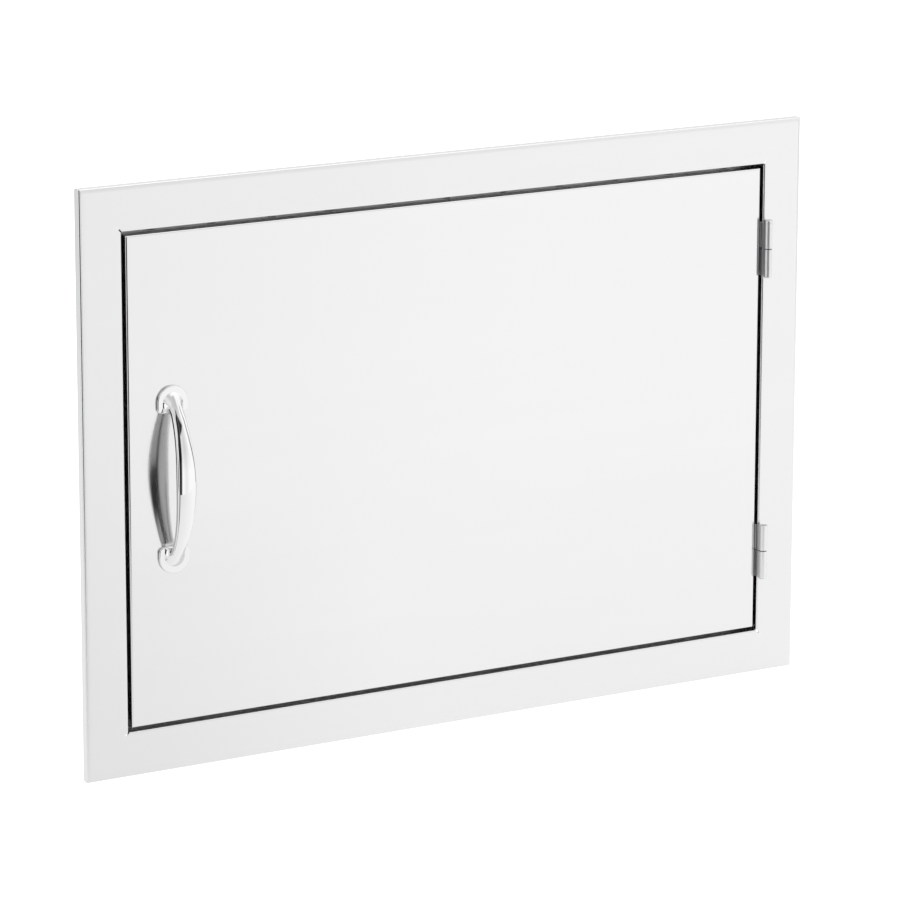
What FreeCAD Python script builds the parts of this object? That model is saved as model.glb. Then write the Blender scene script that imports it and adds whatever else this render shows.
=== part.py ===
import FreeCAD, Part
import math
import os

# A flush access door for an outdoor kitchen island: a folded stainless face frame with a sleeve that
# goes into the cut-out, and a double-skinned door on two pin hinges, closed by a magnetic catch.
# Millimetres. X runs along the width, Y into the island, Z up. The origin is the centre of the cut-out,
# on the wall face that the frame's edges rest on. Depths called "back" count from the front face.

Vector = FreeCAD.Vector

# Face frame
frame_width = 698.5
frame_height = 495.3
border = 38.1
face_proud = 8.0
flange_back = 20.0
sheet = 1.2
bend_inside = 0.5
relief_length = 6.0
relief_width = 1.4
seam_width = 0.6
seam_depth = 0.9

# Sleeve behind the face frame
sleeve_front = 4.0
sleeve_back = 50.8
sleeve_return = 9.0
screw_hole_radius = 2.6
screw_hole_back = 42.0
side_screw_spacing = 340.0
level_screw_spacing = 440.0
mitre_gap = 0.1

# Door leaf
door_gap = 3.2
door_depth = 18.0
liner_sheet = 1.0
liner_flange = 12.0
stiffener_width = 40.0
stiffener_foot = 14.0
stiffener_end_gap = 16.0

# Stop that the door closes against
bumper_height = 3.7
bumper_squeeze_gap = 0.3
bumper_radius = 4.5
bumper_chamfer = 0.8
bumper_end_distance = 60.0
stop_width = 20.0
stop_leg = 14.0
bumper_inset = 9.0

# Hinges
hinge_inset = 70.7
hinge_length = 50.8
leaf_sheet = 1.5
leaf_back = 17.0
leaf_front = 0.5
knuckle_bore = 2.0
pin_clearance = 0.05
axis_proud = 5.5
knuckle_end_angle = 100.0
washer_height = 0.8
washer_inset = 0.3
knuckle_clearance = 0.1
pin_head_height = 2.2
pin_head_chamfer = 0.45
pin_tail = 1.0
pin_tail_chamfer = 0.7
eye_root = 1.5
joggle_length = 4.0
leaf_notch_gap = 0.5
hinge_screw_spacing = 32.0
hinge_screw_back = 9.0
hinge_screw_radius = 2.0
hinge_screw_head = 3.5
countersink_clearance = 0.05
thread_clearance = 0.05
backing_thickness = 3.0
backing_height = 46.0
backing_front = 4.0
backing_depth = 11.0

# Arched pull
pull_inset = 40.0
pull_centres = 128.0
pull_rise = 25.0
pull_arc_chord = 146.0
pull_middle_width = 17.4
pull_end_width = 12.0
pull_middle_thickness = 7.2
pull_end_thickness = 5.4
pull_crown = 2.0
pull_flank = 0.9
pull_flank_share = 0.8
pull_belly = 3.0
pull_end_belly = 2.0
pull_foot_width = 28.0
pull_foot_reach = 15.0
pull_foot_tail = 7.6
pull_foot_corner = 4.0
pull_foot_thickness = 2.4
pull_foot_softening = 0.8
pull_full_round = 0.98
pull_leg_width = 18.4
pull_leg_reach = 8.9
pull_leg_tail = 7.0
pull_leg_height = 9.2
pull_leg_lean = 9.4
pull_leg_bulge = 1.3
pull_leg_root = 1.8
pull_leg_corner = 1.0
pull_leg_inset = 0.4
pull_leg_levels = 5
pull_bar_overrun = 2.4
pull_thread_depth = 6.0
pull_screw_end_gap = 0.5
pull_sections = 13
pull_screw_radius = 2.5
pull_screw_head = 4.6
pull_screw_head_height = 3.0
pull_screw_head_chamfer = 1.0
pull_washer_radius = 5.5
pull_washer_thickness = 1.0
pull_hole_clearance = 0.2
spacer_wall = 2.0

# Magnetic catch
strike_thickness = 1.5
strike_width = 10.0
strike_height = 32.0
strike_corner = 2.0
strike_rivet_spacing = 22.0
strike_rivet_radius = 1.6
strike_rivet_head = 2.6
strike_rivet_tail = 2.5
catch_inset = 10.65
catch_air_gap = 0.3
pole_thickness = 1.5
pole_height = 30.0
magnet_thickness = 4.0
magnet_depth = 10.0
magnet_setback = 1.0
housing_wall = 1.6
housing_rounding = 0.8
housing_depth = 15.0
window_clearance = 0.5
ear_length = 8.0
ear_thickness = 4.0
catch_screw_radius = 1.5
catch_screw_head = 2.8
catch_screw_head_height = 1.8
catch_screw_head_chamfer = 0.6
catch_screw_length = 6.5

# Working values: how far a cutter runs past what it cuts, and when two places count as the same
over_cut = 1.0
same_place = 1e-6

# Sizes that follow
opening_x = frame_width / 2 - border
opening_z = frame_height / 2 - border
door_x = opening_x - door_gap
door_z = opening_z - door_gap
bend_outside = bend_inside + sheet
stop_front = door_depth + bumper_height + bumper_squeeze_gap
knuckle_radius = knuckle_bore + leaf_sheet
axis_x = opening_x - leaf_sheet + knuckle_radius
axis_back = -axis_proud
liner_back = door_depth
liner_front = door_depth - liner_sheet
catch_x = -(opening_x - catch_inset)
pull_x = -(door_x - pull_inset)
sides = ("left", "right", "top", "bottom")
hinge_heights = {"upper": door_z - hinge_inset, "lower": hinge_inset - door_z}


def y_at(back):
    """Depth behind the front face, as a Y coordinate."""
    return back - face_proud


def rounded_outline(corners):
    """Closed wire in the XY plane through (x, y, radius) corners, each rounded by its radius."""
    count = len(corners)
    arcs = []
    for i, (x, y, radius) in enumerate(corners):
        corner = Vector(x, y, 0)
        before = Vector(corners[i - 1][0], corners[i - 1][1], 0) - corner
        after = Vector(corners[(i + 1) % count][0], corners[(i + 1) % count][1], 0) - corner
        before.normalize()
        after.normalize()
        if radius == 0:
            arcs.append((corner, None, corner))
            continue
        half = before.getAngle(after) / 2
        tangent = radius / math.tan(half)
        bisector = before + after
        bisector.normalize()
        centre = corner + bisector * (radius / math.sin(half))
        arcs.append((corner + before * tangent, centre - bisector * radius, corner + after * tangent))
    edges = []
    for i, (start, middle, end) in enumerate(arcs):
        if middle is not None:
            edges.append(Part.Arc(start, middle, end).toShape())
        following = arcs[(i + 1) % count][0]
        if end.distanceToPoint(following) > same_place:
            edges.append(Part.makeLine(end, following))
    return Part.Wire(edges)


def prism_z(wire, low, high):
    """Solid of an XY outline between two heights."""
    solid = Part.Face(wire).extrude(Vector(0, 0, high - low))
    solid.translate(Vector(0, 0, low))
    return solid


def block(x_low, x_high, back_low, back_high, z_low, z_high):
    corner = Vector(x_low, y_at(back_low), z_low)
    return Part.makeBox(x_high - x_low, back_high - back_low, z_high - z_low, corner)


def rod_y(radius, x, z, back_low, back_high):
    return Part.makeCylinder(radius, back_high - back_low, Vector(x, y_at(back_low), z), Vector(0, 1, 0))


def chamfered(solid, back, size):
    """A solid with the edges that lie in the plane at this depth cut off at 45 degrees."""
    return solid.makeChamfer(size, plane_edges(solid, back))


def plane_edges(solid, back):
    """The edges of a solid that lie in the plane at this depth."""
    y = y_at(back)
    return [
        e for e in solid.Edges
        if abs(e.BoundBox.YMin - y) < same_place and abs(e.BoundBox.YMax - y) < same_place
    ]


def rod_x(radius, x_low, x_high, back, z):
    return Part.makeCylinder(radius, x_high - x_low, Vector(x_low, y_at(back), z), Vector(1, 0, 0))


def rod_z(radius, x, back, z_low, z_high):
    return Part.makeCylinder(radius, z_high - z_low, Vector(x, y_at(back), z_low), Vector(0, 0, 1))


def turned_to(shape, side):
    """A shape made for the right-hand side, turned about the door's centre to the named side."""
    turns = {"right": 0, "top": -90, "left": 180, "bottom": 90}
    shape.rotate(Vector(0, 0, 0), Vector(0, 1, 0), turns[side])
    return shape


def folded_strip(section, side, gap):
    """A folded strip along one side with mitred ends.

    The section's corners are (outward from the opening's edge, back, bend radius)."""
    level = side in ("top", "bottom")
    across = opening_z if level else opening_x
    along = opening_x if level else opening_z
    reach = along + 2 * border
    wire = rounded_outline([(across + out, y_at(back), radius) for out, back, radius in section])
    strip = prism_z(wire, -reach, reach)
    inner = across - 2 * border
    outer = across + 2 * border

    def mitre(x):
        return along + x - across - gap

    corners = [(inner, -mitre(inner)), (outer, -mitre(outer)), (outer, mitre(outer)), (inner, mitre(inner))]
    points = [Vector(x, y_at(0) - border, z) for x, z in corners]
    wedge = Part.Face(Part.makePolygon(points + points[:1])).extrude(Vector(0, 4 * border, 0))
    return turned_to(strip.common(wedge), side)


def at_corners(cutter, half_width, half_height):
    """Copies of a cutter that points along +X, set outwards along the diagonal at four corners."""
    copies = []
    for sign_x in (-1, 1):
        for sign_z in (-1, 1):
            copy = cutter.copy()
            turn = -math.degrees(math.atan2(sign_z, sign_x))
            copy.rotate(Vector(0, 0, 0), Vector(0, 1, 0), turn)
            copy.translate(Vector(sign_x * half_width, 0, sign_z * half_height))
            copies.append(copy)
    return Part.makeCompound(copies)


def corner_seams(half_width, half_height, back_low, back_high):
    """The fine open seam where two folded edges meet at a corner."""
    cutter = block(-seam_depth, seam_depth, back_low, back_high, -seam_width / 2, seam_width / 2)
    return at_corners(cutter, half_width, half_height)


def face_frame():
    """One sheet: outer edges folded back to the wall, inner edges folded back as a jamb."""
    section = [
        (0, flange_back, 0),
        (0, 0, bend_outside),
        (border, 0, bend_outside),
        (border, face_proud, 0),
        (border - sheet, face_proud, 0),
        (border - sheet, sheet, bend_inside),
        (sheet, sheet, bend_inside),
        (sheet, flange_back, 0),
    ]
    strips = [folded_strip(section, side, 0) for side in sides]
    frame = strips[0].fuse(strips[1:]).removeSplitter()
    half_slot = relief_width / 2
    slot = block(-relief_width, relief_length, -over_cut, flange_back + over_cut, -half_slot, half_slot)
    slot = slot.fuse(rod_y(half_slot, relief_length, 0, -over_cut, flange_back + over_cut))
    frame = frame.cut(at_corners(slot, opening_x, opening_z))
    frame = frame.cut(corner_seams(frame_width / 2, frame_height / 2, bend_outside, face_proud))
    for height in hinge_heights.values():
        for z in hinge_screw_levels(height):
            frame = frame.cut(leaf_hole(opening_x - over_cut, opening_x + sheet + over_cut, z))
    return frame


def sleeve(side):
    """One side of the box that goes through the cut-out, welded behind the face frame's jamb."""
    web_in = sheet
    web_out = 2 * sheet
    section = [
        (web_in, sleeve_front, 0),
        (web_in, sleeve_back - sheet, bend_inside),
        (web_in - sleeve_return, sleeve_back - sheet, 0),
        (web_in - sleeve_return, sleeve_back, 0),
        (web_out, sleeve_back, bend_outside),
        (web_out, sleeve_front, 0),
    ]
    panel = folded_strip(section, side, mitre_gap)
    spacing = level_screw_spacing if side in ("top", "bottom") else side_screw_spacing
    across = opening_z if side in ("top", "bottom") else opening_x
    for z in (-spacing / 2, spacing / 2):
        hole = rod_x(screw_hole_radius, across, across + 3 * sheet, screw_hole_back, z)
        panel = panel.cut(turned_to(hole, side))
    if side == "right":
        for height in hinge_heights.values():
            for z in hinge_screw_levels(height):
                panel = panel.cut(leaf_hole(opening_x, opening_x + 3 * sheet, z))
    return panel


def stop(side):
    """Folded angle inside the sleeve: its lip stands behind the door's edge."""
    outer = sheet
    section = [
        (outer, stop_front, bend_outside),
        (outer - stop_width, stop_front, 0),
        (outer - stop_width, stop_front + sheet, 0),
        (outer - sheet, stop_front + sheet, bend_inside),
        (outer - sheet, stop_front + stop_leg, 0),
        (outer, stop_front + stop_leg, 0),
    ]
    angle = folded_strip(section, side, mitre_gap)
    if side == "left":
        half_x = catch_half_width() + window_clearance
        half_z = pole_height / 2 + window_clearance
        front = stop_front - over_cut
        back = stop_front + 2 * sheet
        angle = angle.cut(block(catch_x - half_x, catch_x + half_x, front, back, -half_z, half_z))
        for z in catch_screw_levels():
            hole = rod_y(catch_screw_radius + thread_clearance, catch_x, z, front, back)
            angle = angle.cut(hole)
    return angle


def bumpers():
    """Soft round pads stuck on the stop, two down each side."""
    height = opening_z - bumper_end_distance
    front = stop_front - bumper_height
    pads = []
    for x in (bumper_inset - opening_x, opening_x - bumper_inset):
        for z in (-height, height):
            pads.append(chamfered(rod_y(bumper_radius, x, z, front, stop_front), front, bumper_chamfer))
    return Part.makeCompound(pads)


def pan(half_width, half_height, thickness, depth, inside_radius):
    """Open tray: a panel at the front with all four edges folded back and fine corner seams."""
    outside_radius = inside_radius + thickness
    outer = block(-half_width, half_width, 0, depth, -half_height, half_height)
    inner = block(
        -half_width + thickness,
        half_width - thickness,
        thickness,
        depth + over_cut,
        -half_height + thickness,
        half_height - thickness,
    )
    outer = outer.makeFillet(outside_radius, plane_edges(outer, 0))
    inner = inner.makeFillet(inside_radius, plane_edges(inner, thickness))
    tray = outer.cut(inner)
    return tray.cut(corner_seams(half_width, half_height, outside_radius, depth + over_cut))


def door_skin():
    """Outer panel of the door, its edges folded back."""
    skin = pan(door_x, door_z, sheet, door_depth, bend_inside)
    for z in pull_screw_levels():
        skin = skin.cut(rod_y(pull_screw_radius + pull_hole_clearance, pull_x, z, -over_cut, 2 * sheet))
    for height in hinge_heights.values():
        for z in hinge_screw_levels(height):
            skin = skin.cut(leaf_hole(door_x - 2 * sheet, door_x + over_cut, z))
    return skin


def door_liner():
    """Inner panel, a second tray set into the first with its edges forward, closing the door's back."""
    liner = pan(door_x - sheet, door_z - sheet, liner_sheet, liner_flange, bend_inside)
    liner.rotate(Vector(0, y_at(0), 0), Vector(0, 0, 1), 180)
    liner.translate(Vector(0, liner_back, 0))
    front = liner_front - over_cut
    back = liner_back + over_cut
    for z in pull_screw_levels():
        liner = liner.cut(rod_y(pull_screw_radius + pull_hole_clearance, pull_x, z, front, back))
    for z in strike_rivet_levels():
        liner = liner.cut(rod_y(strike_rivet_radius, catch_x, z, front, back))
    for height in hinge_heights.values():
        for z in hinge_screw_levels(height):
            liner = liner.cut(leaf_hole(door_x - sheet - 2 * liner_sheet, door_x, z))
    return liner


def door_stiffener():
    """Upright hat channel between the two skins."""
    half = stiffener_width / 2
    foot = half + stiffener_foot
    front = sheet
    back = liner_front
    section = [
        (-foot, back, 0),
        (-half, back, bend_inside + liner_sheet),
        (-half, front + liner_sheet, bend_inside),
        (half, front + liner_sheet, bend_inside),
        (half, back, bend_inside + liner_sheet),
        (foot, back, 0),
        (foot, back - liner_sheet, 0),
        (half + liner_sheet, back - liner_sheet, bend_inside),
        (half + liner_sheet, front, bend_inside + liner_sheet),
        (-half - liner_sheet, front, bend_inside + liner_sheet),
        (-half - liner_sheet, back - liner_sheet, bend_inside),
        (-foot, back - liner_sheet, 0),
    ]
    wire = rounded_outline([(x, y_at(depth), radius) for x, depth, radius in section])
    reach = door_z - stiffener_end_gap
    return prism_z(wire, -reach, reach)


def hinge_screw_levels(height):
    return (height - hinge_screw_spacing / 2, height + hinge_screw_spacing / 2)


def leaf_hole(x_low, x_high, z):
    return rod_x(hinge_screw_radius + thread_clearance, x_low, x_high, hinge_screw_back, z)


def leaf_screw(x_head, direction, length, z, clearance=0):
    """Countersunk screw: its head is flush in the leaf at x_head and its shank runs along direction.

    With a clearance it is the shape of the hole for that screw."""
    head_radius = hinge_screw_head + clearance
    shank_radius = hinge_screw_radius + clearance
    seat = head_radius - shank_radius
    start = Vector(x_head, y_at(hinge_screw_back), z)
    way = Vector(direction, 0, 0)
    head = Part.makeCone(head_radius, shank_radius, seat, start, way)
    shank = Part.makeCylinder(shank_radius, length - seat, start + way * seat, way)
    return head.fuse(shank)


def leaf_plate(x_low, front, height):
    """The flat part of a leaf, which lies in the gap beside the door."""
    return block(x_low, x_low + leaf_sheet, front, leaf_back, leaf_low(height), leaf_high(height))


def leaf_low(height):
    return height - hinge_length / 2 + pin_tail


def leaf_high(height):
    return height + hinge_length / 2 - pin_head_height - knuckle_clearance


def knuckle(x_plate, z_low, z_high):
    """The rolled eye of a leaf with the strip that joins it to the plate.

    Inside the gap the strip steps across to the eye's tangent when the plate lies further in."""
    face_in = axis_x - knuckle_radius
    face_out = axis_x - knuckle_bore
    y_axis = y_at(axis_back)
    joggled = abs(x_plate - face_in) > same_place
    y_step = y_at(leaf_front + joggle_length) if joggled else y_at(leaf_front)
    y_plate = y_step + eye_root
    end = math.radians(knuckle_end_angle)
    middle = (math.pi + end + 2 * math.pi) / 2

    def on_eye(radius, angle):
        return Vector(axis_x + radius * math.cos(angle), y_axis + radius * math.sin(angle), 0)

    outer = [Vector(x_plate, y_plate, 0), Vector(x_plate, y_step, 0)]
    inner = [Vector(x_plate + leaf_sheet, y_step, 0), Vector(x_plate + leaf_sheet, y_plate, 0)]
    if joggled:
        outer.append(Vector(face_in, y_at(leaf_front), 0))
        inner.insert(0, Vector(face_out, y_at(leaf_front), 0))
    outer.append(on_eye(knuckle_radius, math.pi))
    inner.insert(0, on_eye(knuckle_bore, math.pi))
    edges = [Part.makeLine(a, b) for a, b in zip(outer, outer[1:])]
    tips = (on_eye(knuckle_radius, end), on_eye(knuckle_bore, end))
    edges.append(Part.Arc(outer[-1], on_eye(knuckle_radius, middle), tips[0]).toShape())
    edges.append(Part.makeLine(tips[0], tips[1]))
    edges.append(Part.Arc(tips[1], on_eye(knuckle_bore, middle), inner[0]).toShape())
    edges += [Part.makeLine(a, b) for a, b in zip(inner, inner[1:])]
    edges.append(Part.makeLine(inner[-1], outer[0]))
    return prism_z(Part.Wire(edges), z_low, z_high)


def frame_leaf(height):
    """Leaf on the frame's jamb, with the lower knuckle; it is cut back where the door's strip steps across."""
    x_plate = opening_x - leaf_sheet
    eye_top = height - washer_height / 2
    notch = leaf_front + joggle_length + leaf_notch_gap
    eye = knuckle(x_plate, leaf_low(height), eye_top)
    tongue = block(x_plate, opening_x, leaf_front, leaf_back, leaf_low(height), eye_top)
    leaf = leaf_plate(x_plate, notch, height).fuse([tongue, eye]).removeSplitter()
    for z in hinge_screw_levels(height):
        leaf = leaf.cut(leaf_screw(x_plate, 1, 2 * leaf_sheet, z, countersink_clearance))
    return leaf


def door_leaf(height):
    """Leaf on the door's edge, with the upper knuckle."""
    eye = knuckle(door_x, height + washer_height / 2 + knuckle_clearance, leaf_high(height))
    leaf = leaf_plate(door_x, leaf_front + joggle_length, height).fuse(eye).removeSplitter()
    for z in hinge_screw_levels(height):
        leaf = leaf.cut(leaf_screw(door_x + leaf_sheet, -1, 2 * leaf_sheet, z, countersink_clearance))
    return leaf


def hinge_pin(height, headed):
    """Fixed in the frame's knuckle, with a domed foot below it; the door's knuckle turns on it.

    The upper pin has a flat head, the lower one ends flush so that the door can be hung on it."""
    radius = knuckle_bore - pin_clearance
    low = height - hinge_length / 2
    high = height + hinge_length / 2
    shank_top = high - pin_head_height if headed else leaf_high(height)
    foot = rod_z(knuckle_radius, axis_x, axis_back, low, leaf_low(height))
    foot_rim = [e for e in foot.Edges if abs(e.BoundBox.ZMax - low) < same_place]
    pin = foot.makeChamfer(pin_tail_chamfer, foot_rim)
    pin = pin.fuse(rod_z(radius, axis_x, axis_back, leaf_low(height), shank_top))
    if headed:
        head = rod_z(knuckle_radius, axis_x, axis_back, shank_top, high)
        top_rim = [e for e in head.Edges if abs(e.BoundBox.ZMin - high) < same_place]
        pin = pin.fuse(head.makeChamfer(pin_head_chamfer, top_rim))
    return pin


def hinge_washers():
    rings = []
    for height in hinge_heights.values():
        low = height - washer_height / 2
        high = height + washer_height / 2
        ring = rod_z(knuckle_radius - washer_inset, axis_x, axis_back, low, high)
        rings.append(ring.cut(rod_z(knuckle_bore, axis_x, axis_back, low, high)))
    return Part.makeCompound(rings)


def hinge_screws(x_head, direction, wall):
    """Four countersunk screws, through a leaf and the sheets behind it into the backing plates."""
    length = leaf_sheet + wall + backing_thickness
    screws = []
    for height in hinge_heights.values():
        for z in hinge_screw_levels(height):
            screws.append(leaf_screw(x_head, direction, length, z))
    return Part.makeCompound(screws)


def hinge_backing(x_low, height):
    """Tapped plate behind the sheets that a hinge leaf is screwed to."""
    plate = block(
        x_low,
        x_low + backing_thickness,
        backing_front,
        backing_front + backing_depth,
        height - backing_height / 2,
        height + backing_height / 2,
    )
    for z in hinge_screw_levels(height):
        plate = plate.cut(leaf_hole(x_low - over_cut, x_low + backing_thickness + over_cut, z))
    return plate


def pull_screw_levels():
    return (-pull_centres / 2, pull_centres / 2)


def pull_bow(z):
    """Height of the bar's centre line above the door and its slope, at a height z."""
    half_chord = pull_arc_chord / 2
    radius = (half_chord**2 + pull_rise**2) / (2 * pull_rise)
    tilt = math.asin(z / radius)
    return pull_rise - radius * (1 - math.cos(tilt)), tilt


def pull_section(z):
    """Cross-section of the bowed bar: crowned front, slanted flanks, rounded back."""
    share = math.cos(math.pi / 2 * min(1, abs(2 * z / pull_centres))) ** 2
    half_width = (pull_end_width + (pull_middle_width - pull_end_width) * share) / 2
    thickness = pull_end_thickness + (pull_middle_thickness - pull_end_thickness) * share
    belly = pull_end_belly + (pull_belly - pull_end_belly) * share
    rise, tilt = pull_bow(z)
    centre = Vector(pull_x, y_at(-rise), z)
    outward = Vector(0, -math.cos(tilt), math.sin(tilt))

    def at(x, n):
        return centre + Vector(x, 0, 0) + outward * n

    front = thickness / 2
    shoulder = front - pull_crown
    heel = belly - front
    flank_end = shoulder - (shoulder - heel) * pull_flank_share
    crown_half = half_width - pull_flank
    edges = [
        Part.Arc(at(-crown_half, shoulder), at(0, front), at(crown_half, shoulder)).toShape(),
        Part.makeLine(at(crown_half, shoulder), at(half_width, flank_end)),
        Part.makeLine(at(half_width, flank_end), at(half_width, heel)),
        Part.Arc(at(half_width, heel), at(0, -front), at(-half_width, heel)).toShape(),
        Part.makeLine(at(-half_width, heel), at(-half_width, flank_end)),
        Part.makeLine(at(-half_width, flank_end), at(-crown_half, shoulder)),
    ]
    return Part.Wire(edges)


def pull_outline(half_width, tail, reach, height, corner):
    """Tongue-shaped outline round the upper screw, at a height above the door."""
    outer = min(half_width, tail + reach - corner) * pull_full_round
    corners = [
        (-half_width, pull_centres / 2 - tail, corner),
        (half_width, pull_centres / 2 - tail, corner),
        (half_width, pull_centres / 2 + reach, outer),
        (-half_width, pull_centres / 2 + reach, outer),
    ]
    wire = rounded_outline(corners)
    wire.rotate(Vector(0, 0, 0), Vector(1, 0, 0), 90)
    wire.translate(Vector(pull_x, y_at(-height), 0))
    return wire


def pull_foot():
    """Thin foot plate, round at its outer end, with a softened front edge."""
    outline = pull_outline(pull_foot_width / 2, pull_foot_tail, pull_foot_reach, 0, pull_foot_corner)
    plate = Part.Face(outline).extrude(Vector(0, -pull_foot_thickness, 0))
    return plate.makeFillet(pull_foot_softening, plane_edges(plate, -pull_foot_thickness))


def pull_leg():
    """Flared leg between the foot plate and the end of the bar.

    Its sides draw in quickly above the plate, and its outer end leans in along the bar's slope."""
    low = pull_leg_root
    top_width = pull_end_width - pull_leg_inset
    wires = []
    for i in range(pull_leg_levels):
        share = i / (pull_leg_levels - 1)
        height = low + (pull_leg_height - low) * share
        half_width = (top_width + (pull_leg_width - top_width) * (1 - share) ** 2) / 2
        reach = pull_leg_reach - pull_leg_lean * share**pull_leg_bulge
        wires.append(pull_outline(half_width, pull_leg_tail, reach, height, pull_leg_corner))
    return Part.makeLoft(wires, True, True)


def handle():
    """Cast bowed pull: a bar that swells to its middle and stands on two flared legs and foot plates."""
    reach = pull_centres / 2 + pull_bar_overrun
    steps = [reach * (2 * i / (pull_sections - 1) - 1) for i in range(pull_sections)]
    bar = Part.makeLoft([pull_section(z) for z in steps], True, False)
    ends = [pull_foot(), pull_leg()]
    for end in ends[:2]:
        lower = end.copy()
        lower.rotate(Vector(pull_x, 0, 0), Vector(0, 1, 0), 180)
        ends.append(lower)
    pull = bar.fuse(ends)
    for z in pull_screw_levels():
        pull = pull.cut(rod_y(pull_screw_radius + thread_clearance, pull_x, z, -pull_thread_depth, over_cut))
    return pull


def handle_screws():
    """Long pan-head screws from inside the door into the pull's feet."""
    screws = []
    seat = liner_back + pull_washer_thickness
    for z in pull_screw_levels():
        shank = rod_y(pull_screw_radius, pull_x, z, pull_screw_end_gap - pull_thread_depth, seat)
        head = rod_y(pull_screw_head, pull_x, z, seat, seat + pull_screw_head_height)
        end = seat + pull_screw_head_height
        screws.append(shank.fuse(chamfered(head, end, pull_screw_head_chamfer)))
    return Part.makeCompound(screws)


def handle_washers():
    return Part.makeCompound([handle_ring(pull_washer_radius, liner_back, pull_washer_thickness, z)
                              for z in pull_screw_levels()])


def handle_spacers():
    """Tubes that keep the two skins apart under the screws."""
    outer = pull_screw_radius + pull_hole_clearance + spacer_wall
    return Part.makeCompound([handle_ring(outer, sheet, liner_front - sheet, z) for z in pull_screw_levels()])


def handle_ring(outer, back, thickness, z):
    ring = rod_y(outer, pull_x, z, back, back + thickness)
    return ring.cut(rod_y(pull_screw_radius + pull_hole_clearance, pull_x, z, back, back + thickness))


def catch_half_width():
    return magnet_thickness / 2 + pole_thickness


def catch_screw_levels():
    offset = pole_height / 2 + housing_wall + ear_length / 2
    return (-offset, offset)


def pole_front():
    return door_depth + strike_thickness + catch_air_gap


def catch_pole_plates():
    """Two steel plates that carry the magnet's pull to the strike plate."""
    back = stop_front + sheet + magnet_depth
    plates = []
    for x in (catch_x - catch_half_width(), catch_x + magnet_thickness / 2):
        plates.append(block(x, x + pole_thickness, pole_front(), back, -pole_height / 2, pole_height / 2))
    return Part.makeCompound(plates)


def catch_magnet():
    half = magnet_thickness / 2
    front = pole_front() + magnet_setback
    back = stop_front + sheet + magnet_depth
    return block(catch_x - half, catch_x + half, front, back, -pole_height / 2, pole_height / 2)


def catch_housing():
    """Moulded case behind the stop, with an ear at each end for a screw."""
    half_x = catch_half_width() + housing_wall
    half_z = pole_height / 2 + housing_wall
    front = stop_front + sheet
    ear_end = half_z + ear_length
    ears = prism_of_ears(half_x, ear_end, front)
    case = block(catch_x - half_x, catch_x + half_x, front, front + housing_depth, -half_z, half_z)
    rear_y = y_at(front + housing_depth)
    rim = [e for e in case.Edges if e.BoundBox.YMin > rear_y - same_place]
    case = case.makeFillet(housing_rounding, rim).fuse(ears)
    cavity = block(
        catch_x - catch_half_width(),
        catch_x + catch_half_width(),
        front - over_cut,
        front + magnet_depth,
        -pole_height / 2,
        pole_height / 2,
    )
    case = case.cut(cavity)
    for z in catch_screw_levels():
        hole = rod_y(catch_screw_radius + thread_clearance, catch_x, z, front - over_cut, front + housing_depth)
        case = case.cut(hole)
    return case


def prism_of_ears(half_x, ear_end, front):
    """Flange with rounded ends, lying against the stop."""
    corners = [
        (catch_x - half_x, -ear_end, half_x / 2),
        (catch_x + half_x, -ear_end, half_x / 2),
        (catch_x + half_x, ear_end, half_x / 2),
        (catch_x - half_x, ear_end, half_x / 2),
    ]
    flange = prism_z(rounded_outline(corners), 0, ear_thickness)
    flange.rotate(Vector(0, 0, 0), Vector(1, 0, 0), 90)
    flange.translate(Vector(0, y_at(front + ear_thickness), 0))
    return flange


def catch_screws():
    """Pan-head screws from the front of the stop into the housing's ears."""
    screws = []
    for z in catch_screw_levels():
        head = rod_y(catch_screw_head, catch_x, z, stop_front - catch_screw_head_height, stop_front)
        shank = rod_y(catch_screw_radius, catch_x, z, stop_front, stop_front + catch_screw_length)
        front = stop_front - catch_screw_head_height
        screws.append(chamfered(head, front, catch_screw_head_chamfer).fuse(shank))
    return Part.makeCompound(screws)


def strike_rivet_levels():
    return (-strike_rivet_spacing / 2, strike_rivet_spacing / 2)


def strike_rivet(z):
    """Flush rivet: a countersunk head in the strike plate and a tail inside the door."""
    seat = strike_rivet_head - strike_rivet_radius
    outer = liner_back + strike_thickness
    start = Vector(catch_x, y_at(outer), z)
    head = Part.makeCone(strike_rivet_head, strike_rivet_radius, seat, start, Vector(0, -1, 0))
    shank = rod_y(strike_rivet_radius, catch_x, z, liner_front - strike_rivet_tail, outer - seat)
    return head.fuse(shank)


def strike_plate():
    corners = [
        (catch_x - strike_width / 2, -strike_height / 2, strike_corner),
        (catch_x + strike_width / 2, -strike_height / 2, strike_corner),
        (catch_x + strike_width / 2, strike_height / 2, strike_corner),
        (catch_x - strike_width / 2, strike_height / 2, strike_corner),
    ]
    plate = prism_z(rounded_outline(corners), 0, strike_thickness)
    plate.rotate(Vector(0, 0, 0), Vector(1, 0, 0), 90)
    plate.translate(Vector(0, y_at(liner_back + strike_thickness), 0))
    for z in strike_rivet_levels():
        plate = plate.cut(strike_rivet(z))
    return plate


def strike_rivets():
    return Part.makeCompound([strike_rivet(z) for z in strike_rivet_levels()])


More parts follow.
